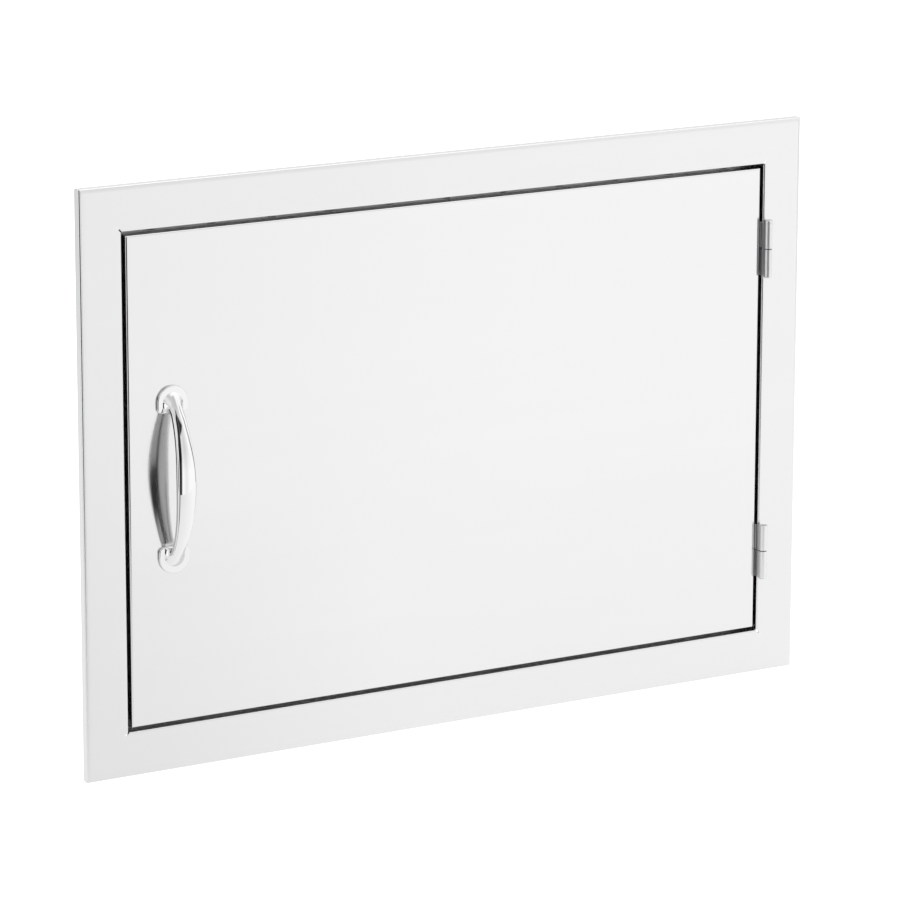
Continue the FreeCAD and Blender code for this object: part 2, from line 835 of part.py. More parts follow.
def all_parts():
    parts = {"face_frame": face_frame()}
    for side in sides:
        parts["sleeve_" + side] = sleeve(side)
        parts["stop_" + side] = stop(side)
    parts["door_bumpers"] = bumpers()
    parts["catch_housing"] = catch_housing()
    parts["catch_magnet"] = catch_magnet()
    parts["catch_pole_plates"] = catch_pole_plates()
    parts["catch_screws"] = catch_screws()
    for name, height in hinge_heights.items():
        headed = name == "upper"
        parts["hinge_" + name + "_frame_leaf"] = frame_leaf(height)
        parts["hinge_" + name + "_door_leaf"] = door_leaf(height)
        parts["hinge_" + name + "_pin"] = hinge_pin(height, headed)
        parts["hinge_" + name + "_frame_backing"] = hinge_backing(opening_x + 2 * sheet, height)
        inner_face = door_x - sheet - liner_sheet
        parts["hinge_" + name + "_door_backing"] = hinge_backing(inner_face - backing_thickness, height)
    parts["hinge_washers"] = hinge_washers()
    parts["hinge_frame_screws"] = hinge_screws(opening_x - leaf_sheet, 1, 2 * sheet)
    parts["hinge_door_screws"] = hinge_screws(door_x + leaf_sheet, -1, sheet + liner_sheet)
    parts["door_skin"] = door_skin()
    parts["door_liner"] = door_liner()
    parts["door_stiffener"] = door_stiffener()
    parts["handle"] = handle()
    parts["handle_screws"] = handle_screws()
    parts["handle_washers"] = handle_washers()
    parts["handle_spacers"] = handle_spacers()
    parts["strike_plate"] = strike_plate()
    parts["strike_rivets"] = strike_rivets()
    return parts


os.makedirs("parts", exist_ok=True)
for node, shape in all_parts().items():
    shape.exportStep("parts/" + node + ".step")
    print(node, len(shape.Solids), shape.isValid(), round(shape.Volume / 1000, 2))
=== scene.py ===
import math

import bpy
import bmesh
from mathutils import Matrix, Vector


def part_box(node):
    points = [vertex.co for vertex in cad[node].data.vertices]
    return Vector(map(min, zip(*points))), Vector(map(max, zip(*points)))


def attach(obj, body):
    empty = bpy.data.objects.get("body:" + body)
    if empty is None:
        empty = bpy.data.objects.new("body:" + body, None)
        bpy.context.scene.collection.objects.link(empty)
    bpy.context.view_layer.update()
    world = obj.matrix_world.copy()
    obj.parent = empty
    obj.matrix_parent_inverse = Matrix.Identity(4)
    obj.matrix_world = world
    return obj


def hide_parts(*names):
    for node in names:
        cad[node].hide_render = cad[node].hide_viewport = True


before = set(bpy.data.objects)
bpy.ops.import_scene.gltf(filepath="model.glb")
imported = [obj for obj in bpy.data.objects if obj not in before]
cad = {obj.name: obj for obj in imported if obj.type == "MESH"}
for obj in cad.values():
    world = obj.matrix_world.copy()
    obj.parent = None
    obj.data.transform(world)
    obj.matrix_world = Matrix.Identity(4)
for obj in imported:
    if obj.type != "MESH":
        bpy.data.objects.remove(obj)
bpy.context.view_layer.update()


# Studio: the access door stands on its lower edge on an opal light table that glows less to the left,
# among soft white walls with a few dark parts in front, round the camera. The long lens keeps the sheet
# edges nearly parallel.
floor_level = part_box("face_frame")[0].z

lens_spot = Vector((-2.0258, -3.4322, 0.9484))
lens_turn, lens_dip, lens_tilt = math.radians(30.553), math.radians(-13.513), math.radians(0.095)
ahead = Vector((
    math.sin(lens_turn) * math.cos(lens_dip),
    math.cos(lens_turn) * math.cos(lens_dip),
    math.sin(lens_dip),
))
level_right = Vector((math.cos(lens_turn), -math.sin(lens_turn), 0))
level_up = level_right.cross(ahead)
lens_right = level_right * math.cos(lens_tilt) + level_up * math.sin(lens_tilt)
lens_up = level_up * math.cos(lens_tilt) - level_right * math.sin(lens_tilt)
camera_data = bpy.data.cameras.new("studio_lens")
camera_data.sensor_width = 36
camera_data.lens = 193.54
camera_data.clip_start = 0.1
camera_data.clip_end = 60
camera = bpy.data.objects.new("studio_camera", camera_data)
camera.matrix_world = Matrix.Translation(lens_spot) @ Matrix((
    (lens_right.x, lens_up.x, -ahead.x),
    (lens_right.y, lens_up.y, -ahead.y),
    (lens_right.z, lens_up.z, -ahead.z),
)).to_4x4()
bpy.context.scene.collection.objects.link(camera)
bpy.context.scene.camera = camera
bpy.context.scene.view_settings.view_transform = "Standard"


def piece_from(name, vertices, faces, smooth=True):
    """Closed mesh object at the origin, with its faces turned outwards."""
    mesh = bpy.data.meshes.new(name)
    mesh.from_pydata([tuple(v) for v in vertices], [], faces)
    shape = bmesh.new()
    shape.from_mesh(mesh)
    bmesh.ops.recalc_face_normals(shape, faces=shape.faces)
    shape.to_mesh(mesh)
    shape.free()
    for polygon in mesh.polygons:
        polygon.use_smooth = smooth
    thing = bpy.data.objects.new(name, mesh)
    bpy.context.scene.collection.objects.link(thing)
    return thing


def wire_up(tree, *links):
    """Joins sockets, each given as (node, output name or number, node, input name or number)."""
    for source, output, target, entry in links:
        tree.links.new(source.outputs[output], target.inputs[entry])


table = bpy.data.materials.new("light_table_acrylic")
table.use_nodes = True
table_nodes = table.node_tree.nodes
table_shader = table_nodes["Principled BSDF"]
table_shader.inputs["Base Color"].default_value = (0.12, 0.12, 0.12, 1)
table_shader.inputs["Roughness"].default_value = 0.9
table_shader.inputs["Specular IOR Level"].default_value = 0.1
table_shader.inputs["Emission Strength"].default_value = 1.3
table_place = table_nodes.new("ShaderNodeTexCoord")
table_turn = table_nodes.new("ShaderNodeMapping")
table_turn.inputs["Rotation"].default_value = (0, 0, math.radians(-26))
table_axes = table_nodes.new("ShaderNodeSeparateXYZ")
table_glow = table_nodes.new("ShaderNodeMapRange")
table_glow.inputs["From Min"].default_value = -0.62
table_glow.inputs["From Max"].default_value = -0.04
table_glow.inputs["To Min"].default_value = 0.74
table_glow.inputs["To Max"].default_value = 1.0
wire_up(
    table.node_tree,
    (table_place, "Object", table_turn, "Vector"),
    (table_turn, "Vector", table_axes, "Vector"),
    (table_axes, "X", table_glow, "Value"),
    (table_glow, "Result", table_shader, "Emission Color"),
)
table_left, table_right, table_front, table_back = -1.05, 5.0, -0.66, 6.0
floor = piece_from(
    "light_table",
    [
        (table_left, table_front, floor_level), (table_right, table_front, floor_level),
        (table_right, table_back, floor_level), (table_left, table_back, floor_level),
    ],
    [(0, 1, 2, 3)],
    smooth=False,
)
floor.data.materials.append(table)

studio = bpy.data.worlds.new("studio_room")
bpy.context.scene.world = studio
studio.use_nodes = True
room = studio.node_tree
room.nodes.clear()
room_out = room.nodes.new("ShaderNodeOutputWorld")
room_seen = room.nodes.new("ShaderNodeBackground")
room_seen.inputs["Color"].default_value = (1, 1, 1, 1)
room_seen.inputs["Strength"].default_value = 1.0
room_light = room.nodes.new("ShaderNodeBackground")
room_light.inputs["Color"].default_value = (1, 1, 1, 1)
room_pick = room.nodes.new("ShaderNodeMixShader")
room_ray = room.nodes.new("ShaderNodeLightPath")
room_way = room.nodes.new("ShaderNodeTexCoord")
room_axes = room.nodes.new("ShaderNodeSeparateXYZ")
room_turn = room.nodes.new("ShaderNodeMath")
room_turn.operation = "ARCTAN2"
room_front = room.nodes.new("ShaderNodeMath")
room_front.operation = "MULTIPLY"
room_front.inputs[1].default_value = -1.0
wire_up(
    room,
    (room_way, "Generated", room_axes, "Vector"),
    (room_axes, "Y", room_front, 0),
    (room_axes, "X", room_turn, 0),
    (room_front, "Value", room_turn, 1),
)
room_lift = room.nodes.new("ShaderNodeMath")
room_lift.operation = "ARCSINE"
wire_up(room, (room_axes, "Z", room_lift, 0))


def slanted(slope):
    """Height angle of the room plus a share of its side angle, for parts with a sloping edge."""
    sloping = room.nodes.new("ShaderNodeMath")
    sloping.operation = "MULTIPLY_ADD"
    sloping.inputs[1].default_value = slope
    wire_up(room, (room_turn, "Value", sloping, 0), (room_lift, "Value", sloping, 2))
    return sloping


room_lean, room_rake = slanted(0.42), slanted(-0.1)


def room_edge(angle, low, high, soft):
    """A mask of the room: 1 where this angle lies between two limits, in degrees, with soft edges."""
    rise = room.nodes.new("ShaderNodeMapRange")
    rise.inputs["From Min"].default_value = math.radians(low) - soft
    rise.inputs["From Max"].default_value = math.radians(low) + soft
    fall = room.nodes.new("ShaderNodeMapRange")
    fall.inputs["From Min"].default_value = math.radians(high) + soft
    fall.inputs["From Max"].default_value = math.radians(high) - soft
    both = room.nodes.new("ShaderNodeMath")
    both.operation = "MULTIPLY"
    wire_up(
        room,
        (angle, "Value", rise, "Value"),
        (angle, "Value", fall, "Value"),
        (rise, "Result", both, 0),
        (fall, "Result", both, 1),
    )
    return both


def multiplied(first, second):
    """Product of two masks of the room."""
    both = room.nodes.new("ShaderNodeMath")
    both.operation = "MULTIPLY"
    wire_up(room, (first, "Value", both, 0), (second, "Value", both, 1))
    return both


def dark_part(depth, *limits):
    """Tone that a dark part of the room leaves: 1 outside its limits, less by its depth inside."""
    inside = room_edge(*limits[0])
    for limit in limits[1:]:
        inside = multiplied(inside, room_edge(*limit))
    left_over = room.nodes.new("ShaderNodeMath")
    left_over.operation = "MULTIPLY_ADD"
    left_over.inputs[1].default_value = -depth
    left_over.inputs[2].default_value = 1.0
    wire_up(room, (inside, "Value", left_over, 0))
    return left_over


screen_top = (room_lean, -90, 44.2, 0.03)
low_gap = dark_part(0.97, (room_turn, -63, 2, 0.04), (room_lift, -30, 14, 0.1))
camera_stand = dark_part(0.97, (room_turn, -15, 2, 0.03), (room_lift, 8, 45, 0.03), screen_top)
screen_arm = dark_part(0.95, (room_turn, 2, 36, 0.03), (room_rake, 26.5, 90, 0.02), screen_top)
wall_seam = dark_part(0.7, (room_turn, 58, 66, 0.02), (room_lift, -30, 36, 0.05))
dim_strip = dark_part(0.13, (room_turn, 12, 27, 0.07), (room_lift, -30, 60, 0.3))
left_ceiling = dark_part(0.22, (room_turn, -200, 40, 0.1), (room_lift, 6, 120, 0.15))
front_ceiling = dark_part(0.25, (room_turn, -70, 36, 0.15), (room_lift, 43, 120, 0.1))
back_ceiling = dark_part(0.25, (room_turn, 110, 200, 0.1), (room_lift, -5, 120, 0.15))
back_left_wall = dark_part(0.34, (room_turn, -200, -100, 0.1), (room_lift, -60, 4, 0.1))
wall_tone = low_gap
for part_tone in (
    camera_stand, screen_arm, wall_seam, dim_strip,
    left_ceiling, front_ceiling, back_ceiling, back_left_wall,
):
    wall_tone = multiplied(wall_tone, part_tone)
room_power = room.nodes.new("ShaderNodeMath")
room_power.operation = "MULTIPLY"
room_power.inputs[1].default_value = 1.5
wire_up(
    room,
    (wall_tone, "Value", room_power, 0),
    (room_power, "Value", room_light, "Strength"),
    (room_ray, "Is Camera Ray", room_pick, 0),
    (room_light, 0, room_pick, 1),
    (room_seen, 0, room_pick, 2),
    (room_pick, 0, room_out, "Surface"),
)


def soft_box(name, spot, aim, width, height, power):
    """Large rectangular light aimed at a point."""
    light = bpy.data.lights.new(name, "AREA")
    light.shape = "RECTANGLE"
    light.size = width
    light.size_y = height
    light.energy = power
    lamp = bpy.data.objects.new(name, light)
    lamp.location = spot
    lamp.rotation_mode = "QUATERNION"
    lamp.rotation_quaternion = (Vector(aim) - Vector(spot)).to_track_quat("-Z", "Y")
    lamp.visible_camera = False
    bpy.context.scene.collection.objects.link(lamp)


soft_box("overhead_box", (0.4, 0.2, 2.8), (0.2, 0.1, 0), 3.0, 3.0, 14)


# Face frame: one sheet of stainless steel, laser cut, brushed along its width. Its outer edges are
# folded back to the wall, which draws the sheet down a little beside the fold, and its inner edges are
# folded back as a jamb. The outer ends of the corner slots are tack welded and ground flush.
def grain_group():
    """Shader group: the fine parallel scratches of a brushed sheet, and softer bands between them."""
    group = bpy.data.node_groups.new("brushed_grain", "ShaderNodeTree")
    group.interface.new_socket("Vector", in_out="INPUT", socket_type="NodeSocketVector")
    for name, value in (("Along", 30.0), ("Across", 2400.0), ("Band", 60.0)):
        socket = group.interface.new_socket(name, in_out="INPUT", socket_type="NodeSocketFloat")
        socket.default_value = value
    group.interface.new_socket("Lines", in_out="OUTPUT", socket_type="NodeSocketFloat")
    group.interface.new_socket("Bands", in_out="OUTPUT", socket_type="NodeSocketFloat")
    nodes = group.nodes
    entry = nodes.new("NodeGroupInput")
    leave = nodes.new("NodeGroupOutput")
    fine_size = nodes.new("ShaderNodeCombineXYZ")
    fine = nodes.new("ShaderNodeTexNoise")
    fine.inputs["Scale"].default_value = 1.0
    fine.inputs["Detail"].default_value = 3.0
    fine.inputs["Roughness"].default_value = 0.7
    stretch = nodes.new("ShaderNodeVectorMath")
    stretch.operation = "MULTIPLY"
    band_size = nodes.new("ShaderNodeCombineXYZ")
    band_size.inputs["X"].default_value = 1.2
    band_stretch = nodes.new("ShaderNodeVectorMath")
    band_stretch.operation = "MULTIPLY"
    band = nodes.new("ShaderNodeTexNoise")
    band.inputs["Scale"].default_value = 1.0
    band.inputs["Detail"].default_value = 4.0
    band.inputs["Roughness"].default_value = 0.6
    wire_up(
        group,
        (entry, "Along", fine_size, "X"),
        (entry, "Across", fine_size, "Y"),
        (entry, "Across", fine_size, "Z"),
        (entry, "Vector", stretch, 0),
        (fine_size, "Vector", stretch, 1),
        (stretch, "Vector", fine, "Vector"),
        (entry, "Band", band_size, "Y"),
        (entry, "Band", band_size, "Z"),
        (entry, "Vector", band_stretch, 0),
        (band_size, "Vector", band_stretch, 1),
        (band_stretch, "Vector", band, "Vector"),
        (fine, "Fac", leave, "Lines"),
        (band, "Fac", leave, "Bands"),
    )
    return group


def handling_group():
    """Shader group: the faint cloudy film that wiping leaves on bare steel."""
    group = bpy.data.node_groups.new("wiped_film", "ShaderNodeTree")
    group.interface.new_socket("Vector", in_out="INPUT", socket_type="NodeSocketVector")
    size = group.interface.new_socket("Size", in_out="INPUT", socket_type="NodeSocketFloat")
    size.default_value = 7.0
    group.interface.new_socket("Film", in_out="OUTPUT", socket_type="NodeSocketFloat")
    nodes = group.nodes
    entry = nodes.new("NodeGroupInput")
    leave = nodes.new("NodeGroupOutput")
    cloud = nodes.new("ShaderNodeTexNoise")
    cloud.inputs["Detail"].default_value = 5.0
    cloud.inputs["Distortion"].default_value = 0.6
    limits = nodes.new("ShaderNodeMapRange")
    limits.inputs["From Min"].default_value = 0.35
    limits.inputs["From Max"].default_value = 0.7
    wire_up(
        group,
        (entry, "Vector", cloud, "Vector"),
        (entry, "Size", cloud, "Scale"),
        (cloud, "Fac", limits, "Value"),
        (limits, "Result", leave, "Film"),
    )
    return group


def rubbed_edge_group():
    """Shader group: a mask that is 1 along folds and cut edges, where handling polishes the metal."""
    group = bpy.data.node_groups.new("rubbed_edge", "ShaderNodeTree")
    width = group.interface.new_socket("Width", in_out="INPUT", socket_type="NodeSocketFloat")
    width.default_value = 0.0012
    group.interface.new_socket("Rub", in_out="OUTPUT", socket_type="NodeSocketFloat")
    nodes = group.nodes
    entry = nodes.new("NodeGroupInput")
    leave = nodes.new("NodeGroupOutput")
    softened = nodes.new("ShaderNodeBevel")
    softened.samples = 4
    here = nodes.new("ShaderNodeNewGeometry")
    agree = nodes.new("ShaderNodeVectorMath")
    agree.operation = "DOT_PRODUCT"
    limits = nodes.new("ShaderNodeMapRange")
    limits.inputs["From Min"].default_value = 0.99
    limits.inputs["From Max"].default_value = 0.85
    wire_up(
        group,
        (entry, "Width", softened, "Radius"),
        (softened, "Normal", agree, 0),
        (here, "Normal", agree, 1),
        (agree, "Value", limits, "Value"),
        (limits, "Result", leave, "Rub"),
    )
    return group


brushed_grain = grain_group()
wiped_film = handling_group()
rubbed_edge = rubbed_edge_group()


def metal_finish(name, tones, rough, grain, bump, edge=(0.0012, 0.12), turn=(0, 0, 0), anisotropic=0.0):
    """Bare metal: tones are its darkest and lightest colour, rough its smoothest and dullest values.

    grain is (along, across, band) per metre; edge is how wide and how much brighter rubbed edges
    are."""
    finish = bpy.data.materials.new(name)
    finish.use_nodes = True
    tree = finish.node_tree
    nodes = tree.nodes
    shader = nodes["Principled BSDF"]
    shader.inputs["Metallic"].default_value = 1.0
    shader.inputs["Anisotropic"].default_value = anisotropic
    if anisotropic:
        across_grain = nodes.new("ShaderNodeCombineXYZ")
        across_grain.inputs["Z"].default_value = 1.0
        wire_up(tree, (across_grain, "Vector", shader, "Tangent"))
    place = nodes.new("ShaderNodeTexCoord")
    turned = nodes.new("ShaderNodeMapping")
    turned.inputs["Rotation"].default_value = turn
    scratches = nodes.new("ShaderNodeGroup")
    scratches.node_tree = brushed_grain
    for entry, value in zip(("Along", "Across", "Band"), grain):
        scratches.inputs[entry].default_value = value
    film = nodes.new("ShaderNodeGroup")
    film.node_tree = wiped_film
    rub = nodes.new("ShaderNodeGroup")
    rub.node_tree = rubbed_edge
    rub.inputs["Width"].default_value = edge[0]
    shade = nodes.new("ShaderNodeMath")
    shade.operation = "MULTIPLY_ADD"
    shade.inputs[1].default_value = 0.5
    half_bands = nodes.new("ShaderNodeMath")
    half_bands.operation = "MULTIPLY"
    half_bands.inputs[1].default_value = 0.5
    colour = nodes.new("ShaderNodeMix")
    colour.data_type = "RGBA"
    colour.inputs["A"].default_value = (*tones[0], 1)
    colour.inputs["B"].default_value = (*tones[1], 1)
    rub_amount = nodes.new("ShaderNodeMath")
    rub_amount.operation = "MULTIPLY"
    rub_amount.inputs[1].default_value = edge[1]
    brighter = nodes.new("ShaderNodeMix")
    brighter.data_type = "RGBA"
    brighter.inputs["B"].default_value = (1, 1, 1, 1)
    dulling = nodes.new("ShaderNodeMapRange")
    dulling.inputs["To Min"].default_value = rough[0]
    dulling.inputs["To Max"].default_value = rough[1]
    blend = nodes.new("ShaderNodeMath")
    blend.operation = "MULTIPLY_ADD"
    blend.inputs[1].default_value = 0.6
    film_share = nodes.new("ShaderNodeMath")
    film_share.operation = "MULTIPLY"
    film_share.inputs[1].default_value = 0.4
    relief = nodes.new("ShaderNodeBump")
    relief.inputs["Strength"].default_value = bump
    relief.inputs["Distance"].default_value = 0.00002
    wire_up(
        tree,
        (place, "Object", turned, "Vector"),
        (turned, "Vector", scratches, "Vector"),
        (turned, "Vector", film, "Vector"),
        (scratches, "Bands", half_bands, 0),
        (scratches, "Lines", shade, 0),
        (half_bands, "Value", shade, 2),
        (shade, "Value", colour, "Factor"),
        (rub, "Rub", rub_amount, 0),
        (rub_amount, "Value", brighter, "Factor"),
        (colour, "Result", brighter, "A"),
        (brighter, "Result", shader, "Base Color"),
        (film, "Film", film_share, 0),
        (scratches, "Lines", blend, 0),
        (film_share, "Value", blend, 2),
        (blend, "Value", dulling, "Value"),
        (dulling, "Result", shader, "Roughness"),
        (scratches, "Lines", relief, "Height"),
        (relief, "Normal", shader, "Normal"),
    )
    return finish


def dress(node_names, finish):
    """Gives CAD nodes their finish."""
    for name in node_names:
        cad[name].data.materials.clear()
        cad[name].data.materials.append(finish)


frame_steel = metal_finish(
    "brushed_frame_steel",
    ((0.59, 0.59, 0.592), (0.62, 0.62, 0.622)),
    (0.2, 0.28),
    (30, 2400, 60),
    0.1,
    anisotropic=0.8,
)
frame_low, frame_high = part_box("face_frame")
fold_start, fold_end, fold_drop = 0.0046, 0.0017, 0.00036
fold_cuts = (0.0047, fold_start, 0.004, 0.0034, 0.0028, 0.0022, fold_end)
weld_distance = 0.000001
folded = bmesh.new()
folded.from_mesh(cad["face_frame"].data)
bmesh.ops.remove_doubles(folded, verts=folded.verts, dist=weld_distance)
for inward in fold_cuts:
    for across, half in ((Vector((1, 0, 0)), frame_high.x), (Vector((0, 0, 1)), frame_high.z)):
        for side in (-1, 1):
            bmesh.ops.bisect_plane(
                folded,
                geom=folded.verts[:] + folded.edges[:] + folded.faces[:],
                dist=weld_distance,
                plane_co=across * side * (half - inward),
                plane_no=across,
            )
for vertex in folded.verts:
    from_edge = min(frame_high.x - abs(vertex.co.x), frame_high.z - abs(vertex.co.z))
    share = min(max((fold_start - from_edge) / (fold_start - fold_end), 0.0), 1.0)
    vertex.co.y += fold_drop * share * share * max(vertex.co.y / frame_low.y, 0.0)
folded_mesh = bpy.data.meshes.new("folded_face_frame")
folded.to_mesh(folded_mesh)
folded.free()
fold_crease = math.radians(32)
for polygon in folded_mesh.polygons:
    polygon.use_smooth = True
folded_mesh.set_sharp_from_angle(angle=fold_crease)
folded_mesh.materials.clear()
folded_mesh.materials.append(frame_steel)
face_sheet = bpy.data.objects.new("folded_face_frame", folded_mesh)
bpy.context.scene.collection.objects.link(face_sheet)
flat_normals = face_sheet.modifiers.new("flat_normals", "WEIGHTED_NORMAL")
flat_normals.keep_sharp = True
flat_normals.weight = 90
shown = face_sheet.evaluated_get(bpy.context.evaluated_depsgraph_get())
smooth_mesh = bpy.data.meshes.new_from_object(shown)
face_sheet.modifiers.remove(flat_normals)
face_sheet.data = smooth_mesh
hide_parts("face_frame")
dress(["face_frame"], frame_steel)
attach(face_sheet, "frame")


def skin_rings(rings):
    """Faces that join equal rings in a row, with both ends closed."""
    count = len(rings[0])
    faces = []
    for i in range(len(rings) - 1):
        for j in range(count):
            k = (j + 1) % count
            faces.append((i * count + j, i * count + k, (i + 1) * count + k, (i + 1) * count + j))
    faces.append(tuple(range(count)))
    faces.append(tuple(range((len(rings) - 1) * count, len(rings) * count)))
    return faces


opening_x, opening_z = 0.31115, 0.20955
tack_start, tack_end, tack_half = 0.0036, 0.006, 0.00075
tack_front, tack_back, tack_cuts = frame_low.y + 0.00003, -0.0069, 12
turns = [math.pi * (step / tack_cuts - 0.5) for step in range(tack_cuts + 1)]
tack_outline = [
    (tack_start, -tack_half),
    *((tack_end + tack_half * math.cos(turn), tack_half * math.sin(turn)) for turn in turns),
    (tack_start, tack_half),
]
diagonal = math.sqrt(0.5)
tack_points, tack_faces = [], []
for side_x, side_z in ((-1, -1), (-1, 1), (1, -1), (1, 1)):
    first = len(tack_points)
    tack_rings = [
        [
            (
                side_x * (opening_x + (along - across) * diagonal),
                y,
                side_z * (opening_z + (along + across) * diagonal),
            )
            for along, across in tack_outline
        ]
        for y in (tack_front, tack_back)
    ]
    tack_points += tack_rings[0] + tack_rings[1]
    tack_faces += [tuple(first + i for i in face) for face in skin_rings(tack_rings)]
tacks = piece_from("corner_slot_tacks", tack_points, tack_faces, smooth=False)
tacks.data.materials.append(frame_steel)
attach(tacks, "frame")


# Sleeve: four folded strips of plainer rolled sheet that line the cut-out, with mitred ends and a short
# return at the back. They are spot welded to the outside of the face frame's jamb, and each weld leaves
# a shallow dimple with a ring of heat tint.
inner_tones, inner_grain = ((0.53, 0.53, 0.535), (0.61, 0.61, 0.615)), (12, 500, 20)
inner_steel = metal_finish("rolled_inner_steel", inner_tones, (0.26, 0.4), inner_grain, 0.2)
side_names = ("left", "right", "top", "bottom")
dress(["sleeve_" + side for side in side_names], inner_steel)


def tree_with(name, sizes):
    """Geometry node tree with a named input for each size, and one for the finish."""
    tree = bpy.data.node_groups.new(name, "GeometryNodeTree")
    tree.interface.new_socket("Geometry", in_out="INPUT", socket_type="NodeSocketGeometry")
    tree.interface.new_socket("Geometry", in_out="OUTPUT", socket_type="NodeSocketGeometry")
    kinds = {
        float: "NodeSocketFloat",
        int: "NodeSocketInt",
        bool: "NodeSocketBool",
        tuple: "NodeSocketVector",
    }
    for label, value in sizes.items():
        socket = tree.interface.new_socket(label, in_out="INPUT", socket_type=kinds[type(value)])
        socket.default_value = value
    tree.interface.new_socket("Finish", in_out="INPUT", socket_type="NodeSocketMaterial")
    return tree


def calculate(tree, operation, *entries):
    """Math node in a tree; each entry is a number or a (node, output) pair."""
    node = tree.nodes.new("ShaderNodeMath")
    node.operation = operation
    for i, entry in enumerate(entries):
        if isinstance(entry, tuple):
            wire_up(tree, (*entry, node, i))
        else:
            node.inputs[i].default_value = entry
    return (node, "Value")


def radius_share(tree, radius):
    """How far a point lies from the axis, 0 at the middle and 1 at this radius."""
    spot = tree.nodes.new("GeometryNodeInputPosition")
    flat = tree.nodes.new("ShaderNodeVectorMath")
    flat.operation = "MULTIPLY"
    flat.inputs[1].default_value = (1, 1, 0)
    reach = tree.nodes.new("ShaderNodeVectorMath")
    reach.operation = "LENGTH"
    wire_up(tree, (spot, "Position", flat, 0), (flat, "Vector", reach, 0))
    return calculate(tree, "DIVIDE", (reach, "Value"), radius)


def height_share(tree, height):
    """How far up a point lies, 0 at the foot and 1 at this height."""
    spot = tree.nodes.new("GeometryNodeInputPosition")
    axes = tree.nodes.new("ShaderNodeSeparateXYZ")
    wire_up(tree, (spot, "Position", axes, "Vector"))
    return calculate(tree, "DIVIDE", (axes, "Z"), height)


def lower(tree, source, depth):
    """Moves points down by a depth that may differ from point to point."""
    shift = tree.nodes.new("ShaderNodeCombineXYZ")
    moved = tree.nodes.new("GeometryNodeSetPosition")
    wire_up(
        tree,
        (*calculate(tree, "MULTIPLY", depth, -1.0), shift, "Z"),
        (*source, moved, "Geometry"),
        (shift, "Vector", moved, "Offset"),
    )
    return (moved, "Geometry")


def finish_tree(tree, points, part, turn):
    """Sets the part on every point, turned, as one plain mesh with its finish."""
    entry = tree.nodes["Group Input"]
    leave = tree.nodes.new("NodeGroupOutput")
    copies = tree.nodes.new("GeometryNodeInstanceOnPoints")
    real = tree.nodes.new("GeometryNodeRealizeInstances")
    painted = tree.nodes.new("GeometryNodeSetMaterial")
    wire_up(
        tree,
        (*points, copies, "Points"),
        (*part, copies, "Instance"),
        (*turn, copies, "Rotation"),
        (copies, "Instances", real, "Geometry"),
        (real, "Geometry", painted, "Geometry"),
        (entry, "Finish", painted, "Material"),
        (painted, "Geometry", leave, "Geometry"),
    )


def weld_tree():
    """Weld dimples along lines: a low mound, dished in the middle, that records its own radius."""
    tree = tree_with("spot_welds", {
        "Pitch": 0.055, "Radius": 0.0042, "Height": 0.00012, "Dish": 0.00007, "Facing": (0.0, 0.0, 0.0),
    })
    entry = tree.nodes.new("NodeGroupInput")
    line = tree.nodes.new("GeometryNodeMeshToCurve")
    points = tree.nodes.new("GeometryNodeCurveToPoints")
    points.mode = "LENGTH"
    mound = tree.nodes.new("GeometryNodeMeshCone")
    mound.inputs["Vertices"].default_value = 20
    mound.inputs["Fill Segments"].default_value = 4
    facing = tree.nodes.new("FunctionNodeEulerToRotation")
    wire_up(
        tree,
        (entry, "Geometry", line, "Mesh"),
        (line, "Curve", points, "Curve"),
        (entry, "Pitch", points, "Length"),
        (entry, "Radius", mound, "Radius Top"),
        (entry, "Radius", mound, "Radius Bottom"),
        (entry, "Height", mound, "Depth"),
        (entry, "Facing", facing, "Euler"),
    )
    mound_fall, dish_steepness = 0.85, -4.0
    share = radius_share(tree, (entry, "Radius"))
    square = calculate(tree, "MULTIPLY", share, share)
    bulge = calculate(tree, "MULTIPLY", square, mound_fall)
    fall = calculate(tree, "MULTIPLY", bulge, (entry, "Height"))
    bowl = calculate(tree, "MULTIPLY_ADD", square, dish_steepness, 1.0)
    hollow = calculate(tree, "MAXIMUM", bowl, 0.0)
    drop = calculate(tree, "MULTIPLY_ADD", hollow, (entry, "Dish"), fall)
    depth = calculate(tree, "MULTIPLY", drop, height_share(tree, (entry, "Height")))
    shaped = lower(tree, (mound, "Mesh"), depth)
    record = tree.nodes.new("GeometryNodeStoreNamedAttribute")
    record.data_type = "FLOAT"
    record.inputs["Name"].default_value = "weld_radius"
    wire_up(tree, (*shaped, record, "Geometry"), (*share, record, "Value"))
    finish_tree(tree, (points, "Points"), (record, "Geometry"), (facing, "Rotation"))
    return tree


def grown(name, tree, spots, lines, sizes, finish):
    """Plain mesh object that a node tree makes from spots and the lines between them."""
    seeds = bpy.data.meshes.new(name + "_spots")
    seeds.from_pydata(spots, lines, [])
    thing = bpy.data.objects.new(name, seeds)
    bpy.context.scene.collection.objects.link(thing)
    grower = thing.modifiers.new("grower", "NODES")
    grower.node_group = tree
    values = {**sizes, "Finish": finish}
    for item in tree.interface.items_tree:
        if item.in_out == "INPUT" and item.name in values:
            grower[item.identifier] = values[item.name]
    shown = thing.evaluated_get(bpy.context.evaluated_depsgraph_get())
    mesh = bpy.data.meshes.new_from_object(shown)
    thing.modifiers.remove(grower)
    thing.data = mesh
    bpy.data.meshes.remove(seeds)
    mesh.polygons.foreach_set("use_smooth", [True] * len(mesh.polygons))
    mesh.set_sharp_from_angle(angle=fold_crease)
    return thing


